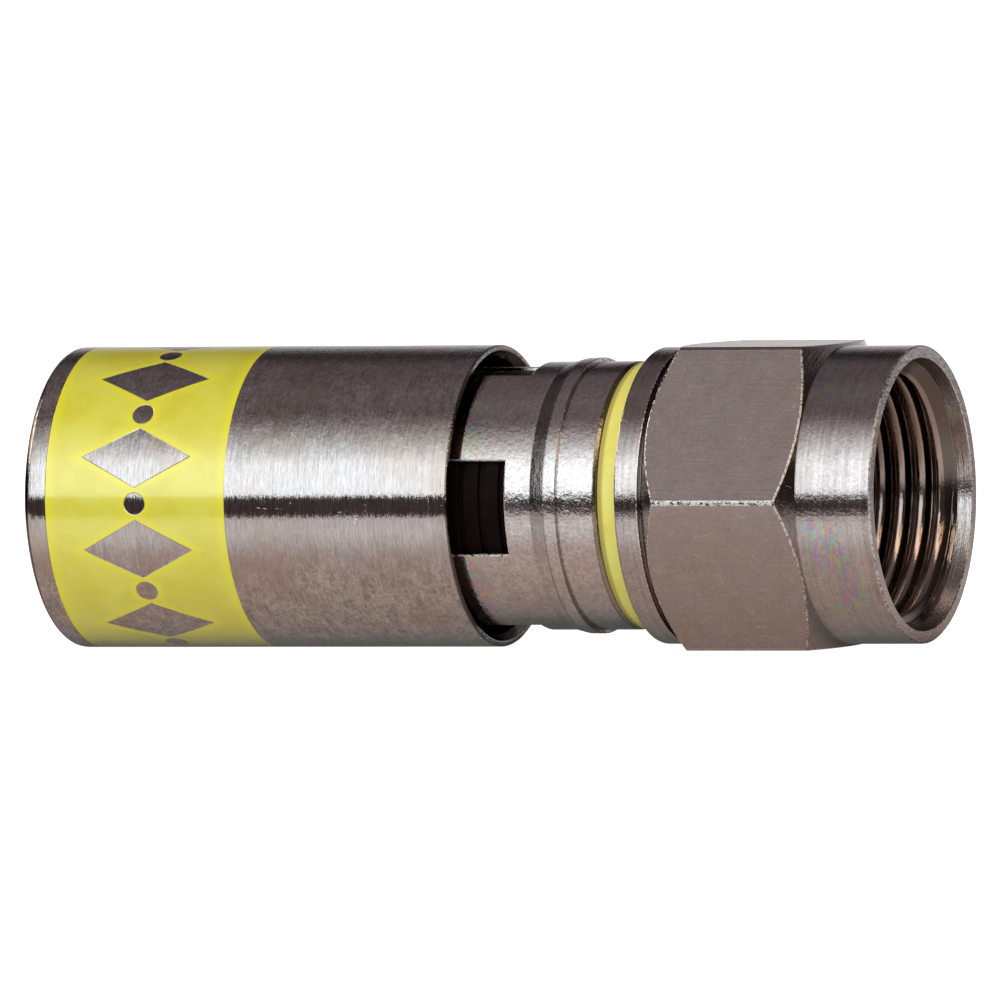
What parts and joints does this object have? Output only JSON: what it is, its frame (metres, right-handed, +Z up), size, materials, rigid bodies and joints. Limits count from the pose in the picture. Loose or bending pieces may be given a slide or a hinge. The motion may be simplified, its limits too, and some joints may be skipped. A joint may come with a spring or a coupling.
{
  "type": "f connector",
  "caption": "Compression F connector for coaxial cable: free-turning hexagon nut, windowed body, sliding sleeve with a colour band.",
  "frame": {"origin": "centre of the inner post's front face, where the mating port seats, at the inner end of the nut's thread", "axes": "+X along the connector's axis, out of the nut; +Z up with the hexagon lying on a flat; -Y is the near side with a hexagon corner and a window"},
  "size_m": [0.0334, 0.0128, 0.0112],
  "materials": {
    "nut_nickel": "dark nickel plate on brass, satin",
    "body_nickel": "dark nickel plate on brass, satin",
    "post_nickel": "nickel plate on brass, smooth",
    "sleeve_nickel": "dark nickel plate on brass, fine turned lines",
    "yellow_lacquer": "thin gloss lacquer",
    "yellow_rubber": "smooth, matt",
    "black_plastic": "moulded, matt",
    "black_rubber": "smooth, matt"
  },
  "bodies": {
    "body": {"inner_post": "post_nickel", "post_o_ring": "black_rubber", "nut_seal_ring": "yellow_rubber", "connector_body": "body_nickel", "grip_ferrule": "black_plastic"},
    "nut": {"coupling_nut": "nut_nickel"},
    "sleeve": {"compression_sleeve": "sleeve_nickel", "colour_band": "yellow_lacquer", "cable_seal": "black_rubber"}
  },
  "joints": [
    {"name": "nut_spin", "type": "hinge", "parent": "body", "child": "nut", "pos_m": [0, 0, 0], "axis": [1, 0, 0], "continuous": true},
    {"name": "sleeve_slide", "type": "slide", "parent": "body", "child": "sleeve", "axis": [1, 0, 0], "range_m": [0, 0.0053]}
  ]
}
